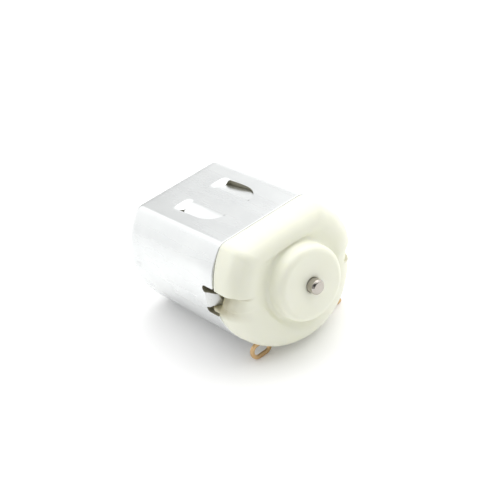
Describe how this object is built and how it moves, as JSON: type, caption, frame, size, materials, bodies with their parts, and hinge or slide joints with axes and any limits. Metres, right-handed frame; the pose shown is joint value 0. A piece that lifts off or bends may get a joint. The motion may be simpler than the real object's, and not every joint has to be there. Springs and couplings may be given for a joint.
{
  "type": "electric motor",
  "caption": "Small brushed permanent-magnet motor in a flat-sided round steel can with a plastic end cap, solder terminals and a plain output shaft.",
  "frame": {"origin": "on the shaft axis, in the plane of the can's closed front face, where the pilot boss starts", "axes": "+X along the shaft towards the output end, +Z out of the flat with the two windows, terminals towards -Z"},
  "size_m": [0.038, 0.02, 0.0174],
  "materials": {
    "can_steel": "bright zinc plating with a fine rolled grain",
    "cap_nylon": "satin moulded nylon, slightly translucent ivory",
    "terminal_brass": "stamped phosphor bronze, slightly tarnished",
    "shaft_steel": "ground bright steel",
    "bearing_bronze": "oil-filled sintered bronze, matte",
    "magnet_ferrite": "pressed ferrite, dark and matte",
    "spring_steel": "drawn spring wire",
    "core_steel": "stamped electrical steel, varnished",
    "insulator_fibre": "thin moulded insulator",
    "winding_copper": "enamelled copper wire, glossy",
    "commutator_plastic": "dark moulded resin",
    "commutator_copper": "turned copper",
    "brush_carbon": "pressed copper-graphite, matte",
    "spring_bronze": "rolled spring bronze",
    "washer_fibre": "brown fibre washer"
  },
  "bodies": {
    "stator": {"motor_can": "can_steel", "front_bearing": "bearing_bronze", "magnet_left": "magnet_ferrite", "magnet_right": "magnet_ferrite", "magnet_spring": "spring_steel", "end_cap": "cap_nylon", "terminal_left": "terminal_brass", "terminal_right": "terminal_brass"},
    "rotor": {"shaft": "shaft_steel", "core_sheets": "core_steel", "core_insulator_front": "insulator_fibre", "core_insulator_rear": "insulator_fibre", "winding_1": "winding_copper", "winding_2": "winding_copper", "winding_3": "winding_copper", "commutator_barrel": "commutator_plastic", "commutator_clamp_ring": "insulator_fibre", "commutator_segment_1": "commutator_copper", "commutator_segment_2": "commutator_copper", "commutator_segment_3": "commutator_copper", "front_spacer": "terminal_brass", "thrust_washer_front": "washer_fibre", "thrust_washer_rear": "washer_fibre"},
    "left_brush": {"brush_arm_left": "spring_bronze", "brush_left": "brush_carbon"},
    "right_brush": {"brush_arm_right": "spring_bronze", "brush_right": "brush_carbon"}
  },
  "joints": [
    {"name": "rotor_spin", "type": "hinge", "parent": "stator", "child": "rotor", "pos_m": [0, 0, 0], "axis": [1, 0, 0], "continuous": true},
    {"name": "left_brush_flex", "type": "hinge", "parent": "stator", "child": "left_brush", "pos_m": [-0.0197, 0.0038, -0.0052], "axis": [-1, 0, 0], "range_deg": [0, 4], "stiffness_Nm_per_rad": 0.008, "springref_deg": -8.59},
    {"name": "right_brush_flex", "type": "hinge", "parent": "stator", "child": "right_brush", "pos_m": [-0.0197, -0.0038, -0.0052], "axis": [1, 0, 0], "range_deg": [0, 4], "stiffness_Nm_per_rad": 0.008, "springref_deg": -8.59}
  ]
}
